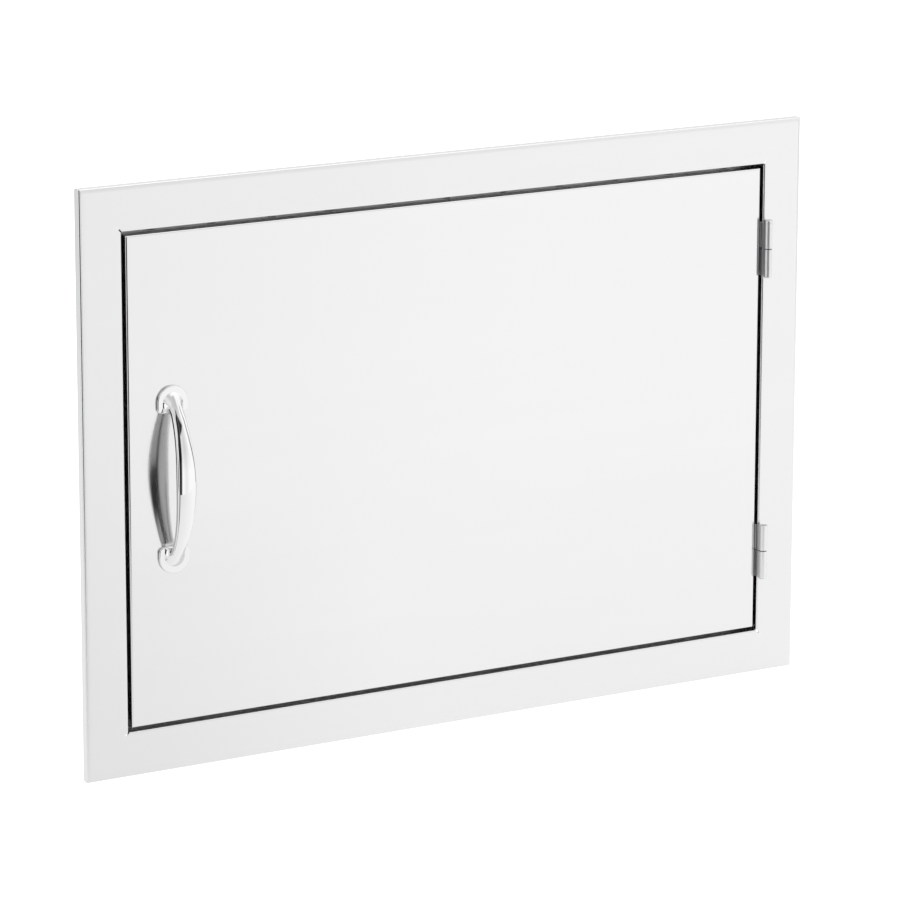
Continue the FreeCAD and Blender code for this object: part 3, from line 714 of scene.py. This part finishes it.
def heat_tinted(name):
    """Rolled steel with a ring of heat tint round each weld: dull middle, blue-brown, straw, bare."""
    finish = metal_finish(name, inner_tones, (0.3, 0.42), inner_grain, 0.2)
    tree = finish.node_tree
    shader = tree.nodes["Principled BSDF"]
    bare = shader.inputs["Base Color"].links[0].from_socket
    radius = tree.nodes.new("ShaderNodeAttribute")
    radius.attribute_name = "weld_radius"
    tint = tree.nodes.new("ShaderNodeValToRGB")
    ramp = tint.color_ramp
    ramp.elements[0].color = (0.80, 0.80, 0.80, 1)
    ramp.elements[1].color = (1, 1, 1, 1)
    blue, brown, straw = (0.72, 0.74, 0.80), (0.86, 0.78, 0.66), (0.98, 0.92, 0.78)
    for place, colour in ((0.42, blue), (0.58, brown), (0.76, straw)):
        ramp.elements.new(place).color = (*colour, 1)
    tinted = tree.nodes.new("ShaderNodeMix")
    tinted.data_type = "RGBA"
    tinted.blend_type = "MULTIPLY"
    tinted.inputs["Factor"].default_value = 1.0
    tree.links.new(bare, tinted.inputs["A"])
    wire_up(
        tree,
        (radius, "Fac", tint, "Fac"),
        (tint, "Color", tinted, "B"),
        (tinted, "Result", shader, "Base Color"),
    )
    return finish


spot_welds = weld_tree()
welded_steel = heat_tinted("heat_tinted_steel")
faces_right, faces_left = (0.0, math.pi / 2, 0.0), (0.0, -math.pi / 2, 0.0)
faces_up, faces_down = (0.0, 0.0, 0.0), (math.pi, 0.0, 0.0)
faces_back, faces_front = (-math.pi / 2, 0.0, 0.0), (math.pi / 2, 0.0, 0.0)


def weld_row(name, start, end, facing, body):
    """One straight row of spot welds that rides on a body."""
    row = grown(name, spot_welds, [start, end], [(0, 1)], {"Facing": facing}, welded_steel)
    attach(row, body)


def upright_welds(name, x, y, half_height, facing, body):
    """A row of spot welds up a side."""
    weld_row(name, (x, y, -half_height), (x, y, half_height), facing, body)


def level_welds(name, z, y, half_width, facing, body):
    """A row of spot welds along the top or the foot."""
    weld_row(name, (-half_width, y, z), (half_width, y, z), facing, body)


sleeve_low, sleeve_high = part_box("sleeve_left")[0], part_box("sleeve_right")[1]
sleeve_foot, sleeve_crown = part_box("sleeve_bottom")[0].z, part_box("sleeve_top")[1].z
end_room = 0.03
high, wide = sleeve_crown - end_room, sleeve_high.x - end_room
jamb_row, stop_row = 0.004, 0.022
for label, y in (("jamb", jamb_row), ("stop", stop_row)):
    upright_welds("welds_%s_left" % label, sleeve_low.x, y, high, faces_left, "frame")
    upright_welds("welds_%s_right" % label, sleeve_high.x, y, high, faces_right, "frame")
    level_welds("welds_%s_top" % label, sleeve_crown, y, wide, faces_up, "frame")
    level_welds("welds_%s_bottom" % label, sleeve_foot, y, wide, faces_down, "frame")


# Stops: four folded angles of the same rolled sheet inside the sleeve, their lips standing behind the
# door's edge. Four domed pads of soft black rubber are stuck to them, two down each side, so that the
# door closes without a clang.
dress(["stop_" + side for side in side_names], inner_steel)


def turned_tree():
    """Turned parts on points: a head, domed or flat, with or without a cross recess, on a shank."""
    tree = tree_with("turned_parts", {
        "Head Radius": 0.003, "Seat Radius": 0.003, "Head Height": 0.002, "Crown": 0.0005,
        "Shank Radius": 0.0015, "Shank Length": 0.005, "Crossed": True, "Recess": 0.003,
        "Recess Depth": 0.001, "Facing": (0.0, 0.0, 0.0), "Seed": 3,
    })
    entry = tree.nodes.new("NodeGroupInput")
    head = tree.nodes.new("GeometryNodeMeshCone")
    head.inputs["Vertices"].default_value = 40
    head.inputs["Fill Segments"].default_value = 6
    shank = tree.nodes.new("GeometryNodeMeshCone")
    shank.inputs["Vertices"].default_value = 24
    sunk = tree.nodes.new("GeometryNodeTransform")
    shank_drop = tree.nodes.new("ShaderNodeCombineXYZ")
    wire_up(
        tree,
        (entry, "Head Radius", head, "Radius Top"),
        (entry, "Seat Radius", head, "Radius Bottom"),
        (entry, "Head Height", head, "Depth"),
        (entry, "Shank Radius", shank, "Radius Top"),
        (entry, "Shank Radius", shank, "Radius Bottom"),
        (entry, "Shank Length", shank, "Depth"),
        (*calculate(tree, "MULTIPLY", (entry, "Shank Length"), -1.0), shank_drop, "Z"),
        (shank, "Mesh", sunk, "Geometry"),
        (shank_drop, "Vector", sunk, "Translation"),
    )
    crown_power, wing_width = 2.6, 0.26
    share = radius_share(tree, (entry, "Head Radius"))
    curve = calculate(tree, "MULTIPLY", calculate(tree, "POWER", share, crown_power), (entry, "Crown"))
    drop = calculate(tree, "MULTIPLY", curve, height_share(tree, (entry, "Head Height")))
    dome = lower(tree, (head, "Mesh"), drop)
    recessed = tree.nodes.new("GeometryNodeMeshBoolean")
    recessed.operation = "DIFFERENCE"
    wire_up(tree, (*dome, recessed, "Mesh 1"))
    wing_size = tree.nodes.new("ShaderNodeCombineXYZ")
    wing_lift = tree.nodes.new("ShaderNodeCombineXYZ")
    wire_up(
        tree,
        (entry, "Recess", wing_size, "X"),
        (*calculate(tree, "MULTIPLY", (entry, "Recess"), wing_width), wing_size, "Y"),
        (*calculate(tree, "MULTIPLY", (entry, "Recess Depth"), 2.0), wing_size, "Z"),
        (entry, "Head Height", wing_lift, "Z"),
    )
    for turn in (0.0, math.pi / 2):
        wing = tree.nodes.new("GeometryNodeMeshCube")
        placed = tree.nodes.new("GeometryNodeTransform")
        placed.inputs["Rotation"].default_value = (0, 0, turn)
        wire_up(
            tree,
            (wing_size, "Vector", wing, "Size"),
            (wing, "Mesh", placed, "Geometry"),
            (wing_lift, "Vector", placed, "Translation"),
            (placed, "Geometry", recessed, "Mesh 2"),
        )
    choice = tree.nodes.new("GeometryNodeSwitch")
    choice.input_type = "GEOMETRY"
    whole = tree.nodes.new("GeometryNodeJoinGeometry")
    facing = tree.nodes.new("FunctionNodeEulerToRotation")
    chance = tree.nodes.new("FunctionNodeRandomValue")
    chance.data_type = "FLOAT"
    chance.inputs[3].default_value = 2 * math.pi
    spin_axis = tree.nodes.new("ShaderNodeCombineXYZ")
    spin = tree.nodes.new("FunctionNodeEulerToRotation")
    turned = tree.nodes.new("FunctionNodeRotateRotation")
    turned.rotation_space = "LOCAL"
    wire_up(
        tree,
        (entry, "Crossed", choice, "Switch"),
        (*dome, choice, "False"),
        (recessed, "Mesh", choice, "True"),
        (choice, "Output", whole, "Geometry"),
        (sunk, "Geometry", whole, "Geometry"),
        (entry, "Facing", facing, "Euler"),
        (entry, "Seed", chance, "Seed"),
        (chance, 1, spin_axis, "Z"),
        (spin_axis, "Vector", spin, "Euler"),
        (facing, "Rotation", turned, "Rotation"),
        (spin, "Rotation", turned, "Rotate By"),
    )
    finish_tree(tree, (entry, "Geometry"), (whole, "Geometry"), (turned, "Rotation"))
    return tree


def moulded_finish(name, tones, rough, speck, bump, worn=(0.0006, 0.1)):
    """Moulded plastic, rubber or ceramic: tones and rough are its limits, speck its grain per metre."""
    finish = bpy.data.materials.new(name)
    finish.use_nodes = True
    tree = finish.node_tree
    shader = tree.nodes["Principled BSDF"]
    place = tree.nodes.new("ShaderNodeTexCoord")
    grain = tree.nodes.new("ShaderNodeTexNoise")
    grain.inputs["Scale"].default_value = speck
    grain.inputs["Detail"].default_value = 5.0
    colour = tree.nodes.new("ShaderNodeMix")
    colour.data_type = "RGBA"
    colour.inputs["A"].default_value = (*tones[0], 1)
    colour.inputs["B"].default_value = (*tones[1], 1)
    rub = tree.nodes.new("ShaderNodeGroup")
    rub.node_tree = rubbed_edge
    rub.inputs["Width"].default_value = worn[0]
    paler = tree.nodes.new("ShaderNodeMix")
    paler.data_type = "RGBA"
    paler.inputs["B"].default_value = (1, 1, 1, 1)
    dulling = tree.nodes.new("ShaderNodeMapRange")
    dulling.inputs["To Min"].default_value = rough[0]
    dulling.inputs["To Max"].default_value = rough[1]
    relief = tree.nodes.new("ShaderNodeBump")
    relief.inputs["Strength"].default_value = bump
    relief.inputs["Distance"].default_value = 0.00005
    wire_up(
        tree,
        (place, "Object", grain, "Vector"),
        (grain, "Fac", colour, "Factor"),
        (*calculate(tree, "MULTIPLY", (rub, "Rub"), worn[1]), paler, "Factor"),
        (colour, "Result", paler, "A"),
        (paler, "Result", shader, "Base Color"),
        (grain, "Fac", dulling, "Value"),
        (dulling, "Result", shader, "Roughness"),
        (grain, "Fac", relief, "Height"),
        (relief, "Normal", shader, "Normal"),
    )
    return finish


turned_parts = turned_tree()
pad_rubber = moulded_finish(
    "pad_rubber", ((0.022, 0.022, 0.023), (0.045, 0.045, 0.046)), (0.55, 0.75), 900, 0.25
)
pad_low, pad_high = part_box("door_bumpers")
pad_radius = 0.0045
pads = grown(
    "rubber_pads",
    turned_parts,
    [
        (x, pad_high.y, z)
        for x in (pad_low.x + pad_radius, pad_high.x - pad_radius)
        for z in (pad_low.z + pad_radius, pad_high.z - pad_radius)
    ],
    [],
    {
        "Head Radius": pad_radius, "Seat Radius": pad_radius, "Head Height": pad_high.y - pad_low.y,
        "Crown": 0.0013, "Shank Radius": pad_radius * 0.9, "Shank Length": 0.0001, "Crossed": False,
        "Facing": faces_front,
    },
    pad_rubber,
)
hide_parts("door_bumpers")
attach(pads, "frame")
dress(["door_bumpers"], pad_rubber)


# Magnetic catch: a moulded grey case behind the left stop holds a dark sintered magnet between two
# zinc-plated steel plates, which reach through a window in the stop. Two pan-head screws hold it.
catch_plastic = moulded_finish(
    "catch_plastic", ((0.50, 0.50, 0.49), (0.58, 0.58, 0.57)), (0.38, 0.52), 1400, 0.2, (0.0008, 0.18)
)
dress(["catch_housing"], catch_plastic)
sintered = moulded_finish(
    "sintered_magnet", ((0.03, 0.03, 0.033), (0.075, 0.075, 0.08)), (0.5, 0.7), 2600, 0.5
)
dress(["catch_magnet"], sintered)
zinc_plate = metal_finish(
    "zinc_plated_steel",
    ((0.46, 0.475, 0.50), (0.60, 0.615, 0.64)),
    (0.3, 0.48),
    (320, 620, 260),
    0.25,
    edge=(0.0006, 0.2),
)
dress(["catch_pole_plates"], zinc_plate)
screw_steel = metal_finish(
    "turned_screw_steel",
    ((0.50, 0.50, 0.505), (0.60, 0.60, 0.605)),
    (0.22, 0.38),
    (500, 900, 300),
    0.2,
    edge=(0.0004, 0.25),
)


def fastener_set(name, spots, sizes, facing, seed, node, body):
    """A set of screws that stands for a CAD node; the spots are where the heads' undersides lie."""
    size_names = ("Head Radius", "Seat Radius", "Head Height", "Crown", "Shank Radius", "Shank Length")
    recess_span, recess_sink = 1.05, 0.62
    values = dict(zip(size_names, sizes))
    values["Recess"] = values["Head Radius"] * recess_span
    values["Recess Depth"] = values["Head Height"] * recess_sink
    values["Facing"] = facing
    values["Seed"] = seed
    screws = grown(name, turned_parts, spots, [], values, screw_steel)
    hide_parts(node)
    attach(screws, body)
    dress([node], screw_steel)


catch_low, catch_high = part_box("catch_screws")
catch_head, catch_head_height = 0.0028, 0.0018
catch_middle = (catch_low.x + catch_high.x) / 2
fastener_set(
    "catch_pan_screws",
    [
        (catch_middle, catch_low.y + catch_head_height, z)
        for z in (catch_low.z + catch_head, catch_high.z - catch_head)
    ],
    (catch_head, catch_head, catch_head_height, 0.0007, 0.0015, 0.0065),
    faces_front,
    5,
    "catch_screws",
    "frame",
)


# Door: an outer tray of the same brushed sheet as the frame, its edges folded back, and an inner tray
# of rolled sheet set into it, edges forward. A hat channel stands between the two; all are spot welded.
door_steel = metal_finish(
    "brushed_door_steel",
    ((0.59, 0.59, 0.592), (0.62, 0.62, 0.622)),
    (0.11, 0.17),
    (30, 2400, 60),
    0.1,
    anisotropic=0.8,
)
dress(["door_skin"], door_steel)
dress(["door_liner", "door_stiffener"], inner_steel)
door_low, door_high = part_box("door_skin")
liner_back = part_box("door_liner")[1].y
channel_foot, channel_row = 0.027, 0.18
upright_welds("welds_channel_left", -channel_foot, liner_back, channel_row, faces_back, "door")
upright_welds("welds_channel_right", channel_foot, liner_back, channel_row, faces_back, "door")
seam, hinge_clear = 0.0072, 0.09
level_welds("welds_door_top", door_high.z, seam, door_high.x - end_room, faces_up, "door")
level_welds("welds_door_foot", door_low.z, seam, door_high.x - end_room, faces_down, "door")
upright_welds("welds_door_left", door_low.x, seam, door_high.z - end_room, faces_left, "door")
upright_welds("welds_door_right", door_high.x, seam, hinge_clear, faces_right, "door")


# Strike plate: a small zinc-plated plate on the door's back, which the magnet holds. Two flush steel
# rivets fix it through the inner tray.
dress(["strike_plate"], zinc_plate)
dress(["strike_rivets"], screw_steel)


# Hinges: two butt hinges of stamped stainless strip, rolled into knuckles round a pin that stands in
# front of the face. The upper pin has a flat head. A thin blackened washer parts each pair of knuckles,
# and two countersunk screws a leaf go into tapped plates behind the sheet.
hinge_steel = metal_finish(
    "brushed_hinge_steel",
    ((0.58, 0.58, 0.585), (0.66, 0.66, 0.665)),
    (0.34, 0.44),
    (60, 1800, 200),
    0.25,
    turn=(0, math.pi / 2, 0),
)
for place_name in ("upper", "lower"):
    hinge = "hinge_%s_" % place_name
    dress([hinge + part for part in ("frame_leaf", "door_leaf", "pin")], hinge_steel)
    dress([hinge + part for part in ("frame_backing", "door_backing")], zinc_plate)
blackened = metal_finish(
    "blackened_washer_steel",
    ((0.035, 0.035, 0.036), (0.07, 0.07, 0.072)),
    (0.4, 0.6),
    (300, 300, 200),
    0.2,
    edge=(0.0004, 0.1),
)
dress(["hinge_washers"], blackened)
leaf_head, leaf_shank, leaf_pitch = 0.0035, 0.002, 0.032
for name, node, side, facing, body in (
    ("jamb_leaf_screws", "hinge_frame_screws", 0, faces_left, "frame"),
    ("door_leaf_screws", "hinge_door_screws", 1, faces_right, "door"),
):
    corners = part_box(node)
    head_face = corners[side].x
    into = 1 if side == 0 else -1
    seat = leaf_head - leaf_shank
    top = corners[1].z - leaf_head
    length = corners[1].x - corners[0].x - seat
    middle = (corners[0].y + corners[1].y) / 2
    fastener_set(
        name,
        [(head_face + into * seat, middle, z) for z in (top, top - leaf_pitch, leaf_pitch - top, -top)],
        (leaf_head, leaf_shank, seat, 0.0, leaf_shank, length),
        facing,
        11 + side,
        node,
        body,
    )


# Handle: a bowed pull, cast in one piece and polished. The bar swells to its middle and has a crowned
# front with slanted flanks; each end widens into a leg on a thin foot plate, drawn up against the
# door by a screw from inside.
def bar_station(z):
    """One station of the bar, at a height z in millimetres from its middle.

    Outer point, inner point, half width, crown, spread, flank, heel and belly."""
    bow, half_chord, half_swell = 25.0, 73.0, 64.0
    radius = (half_chord**2 + bow**2) / (2 * bow)
    tilt = math.asin(z / radius)
    rise = bow - radius * (1 - math.cos(tilt))
    share = math.cos(math.pi / 2 * min(1, z / half_swell)) ** 2
    half_depth = (5.4 + 1.8 * share) / 2
    lean = (math.sin(tilt) * half_depth, math.cos(tilt) * half_depth)
    return (
        z + lean[0], rise + lean[1], z - lean[0], rise - lean[1],
        6.1 + 3.2 * share, 1.45 + 0.05 * share, 0.5, 0.6 + 0.1 * share, 1.1, 2.0 + 1.0 * share,
    )


leg_stations = [
    (73.75, 2.05, 56.5, 2.05, 9.9, 8.2, 1.5, 0.0, 1.2, 0.0),
    (73.05, 2.6, 56.9, 2.5, 9.1, 8.0, 1.5, 0.0, 1.2, 0.0),
    (71.6, 4.0, 57.0, 3.4, 8.0, 7.2, 1.4, 0.0, 1.2, 0.0),
    (69.4, 5.75, 57.0, 4.5, 7.1, 5.8, 1.3, 0.1, 1.2, 0.1),
    (66.6, 7.7, 56.9, 5.8, 6.4, 4.2, 1.1, 0.3, 1.2, 0.4),
    (63.4, 9.85, 56.4, 7.2, 6.05, 2.8, 0.9, 0.4, 1.1, 0.9),
    (59.4, 12.25, 54.9, 8.5, 6.0, 2.0, 0.7, 0.5, 1.1, 1.5),
]
stations = leg_stations + [bar_station(z) for z in (53.5, 48, 42, 36, 30, 24, 18, 12, 6, 0)]


def mirrored_station(station):
    """The station on the other side of the bar's middle."""
    return (-station[0], station[1], -station[2], station[3], *station[4:])


def between(stations, at):
    """Smooth curve through the stations, at a station number that may have a fraction."""
    last = len(stations) - 1
    i = min(int(at), last - 1)
    t = at - i
    before = stations[max(i - 1, 0)]
    after = stations[i + 2] if i + 2 <= last else mirrored_station(stations[last - 1])
    return [
        0.5 * (
            2 * b + (c - a) * t + (2 * a - 5 * b + 4 * c - d) * t**2 + (3 * b - a - 3 * c + d) * t**3
        )
        for a, b, c, d in zip(before, stations[i], stations[i + 1], after)
    ]


def pull_ring(station):
    """Closed ring of points round the pull at one station."""
    z_out, rise_out, z_in, rise_in, half, crown, spread, flank, heel, belly = station
    depth = math.hypot(z_out - z_in, rise_out - rise_in)
    shoulder = depth - crown
    half_crown = half - flank
    flank_depth, least_edge, bend, crown_cuts, belly_cuts = 1.7, 0.3, 0.2, 11, 7
    low_flank = max(shoulder - flank_depth, belly + least_edge)
    side = []
    for i in range(crown_cuts):
        angle = spread * i / crown_cuts
        side.append((
            half_crown * math.sin(angle) / math.sin(spread),
            shoulder + crown * (math.cos(angle) - math.cos(spread)) / (1 - math.cos(spread)),
        ))
    flank_start = (half_crown + flank * bend, shoulder + (low_flank - shoulder) * bend)
    heel_end = (half - heel, belly * (1 - heel / half) ** 2)
    for start, corner, end, count in (
        (side[-1], (half_crown, shoulder), flank_start, 5),
        ((half, low_flank), (half, belly), heel_end, 7),
    ):
        for i in range(count):
            t = i / (count - 1)
            side.append(tuple(
                a * (1 - t) ** 2 + 2 * b * t * (1 - t) + c * t**2 for a, b, c in zip(start, corner, end)
            ))
    for i in reversed(range(belly_cuts)):
        across = (half - heel) * i / belly_cuts
        side.append((across, belly * (across / half) ** 2))
    ring = side + [(-u, v) for u, v in reversed(side[1:-1])]
    along = ((z_out - z_in) / depth, (rise_out - rise_in) / depth)
    return [(u, z_in + v * along[0], rise_in + v * along[1]) for u, v in ring]


pull_x = -0.26795
door_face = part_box("door_skin")[0].y


def on_door(across, z, rise):
    """A point of the pull in metres, from millimetres beside its middle, up, and out from the door."""
    return Vector((pull_x + across / 1000, door_face - rise / 1000, z / 1000))


def foot_outline(inset):
    """Points of the foot plate's outline at the upper end, drawn in by an inset, in millimetres."""
    half, low, high = 14.0 - inset, 56.4 + inset, 79.0 - inset
    tight, wide_round, corner_cuts = 4.0 - inset, 13.6 - inset, 12
    points = []
    for across, up, radius, start in (
        (half, low, tight, -90), (half, high, wide_round, 0),
        (-half, high, wide_round, 90), (-half, low, tight, 180),
    ):
        centre = (across - math.copysign(radius, across), up + (radius if up == low else -radius))
        for i in range(corner_cuts + 1):
            angle = math.radians(start + 90 * i / corner_cuts)
            points.append((centre[0] + radius * math.cos(angle), centre[1] + radius * math.sin(angle)))
    return points


leg_cuts, bar_cuts, bar_start = 6, 4, len(leg_stations)
bar_spans = len(stations) - 1 - bar_start
ring_steps = [i / leg_cuts for i in range(leg_cuts * bar_start)]
ring_steps += [bar_start + i / bar_cuts for i in range(bar_cuts * bar_spans + 1)]
upper_rings = [pull_ring(between(stations, at)) for at in ring_steps]
lower_rings = [[(u, -z, rise) for u, z, rise in ring] for ring in reversed(upper_rings[:-1])]
pull_rings = upper_rings + lower_rings
vertices = [on_door(*point) for ring in pull_rings for point in ring]
faces = skin_rings(pull_rings)
plate_levels = (
    (0.0, 0.0), (0.0, 1.5), (0.08, 1.85), (0.26, 2.14), (0.55, 2.33), (0.9, 2.4), (1.2, 2.4),
)
for way in (1, -1):
    plate_rings = [[(u, way * z, rise) for u, z in foot_outline(inset)] for inset, rise in plate_levels]
    first = len(vertices)
    vertices += [on_door(*point) for ring in plate_rings for point in ring]
    faces += [tuple(first + i for i in face) for face in skin_rings(plate_rings)]
pull = piece_from("bowed_pull", vertices, faces)
polish = metal_finish(
    "polished_cast_metal",
    ((0.62, 0.62, 0.622), (0.66, 0.66, 0.662)),
    (0.03, 0.07),
    (20, 60, 40),
    0.0,
    edge=(0.0006, 0.0),
)
pull.data.materials.append(polish)
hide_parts("handle")
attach(pull, "door")
dress(["handle"], polish)
dress(["handle_washers"], screw_steel)
dress(["handle_spacers"], zinc_plate)
back_low, back_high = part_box("handle_screws")
back_head, back_head_height = 0.0046, 0.003
back_middle = (back_low.x + back_high.x) / 2
back_seat = back_high.y - back_head_height
fastener_set(
    "pull_pan_screws",
    [(back_middle, back_seat, z) for z in (back_low.z + back_head, back_high.z - back_head)],
    (back_head, back_head, back_head_height, 0.0012, 0.0025, back_seat - back_low.y),
    faces_back,
    17,
    "handle_screws",
    "door",
)
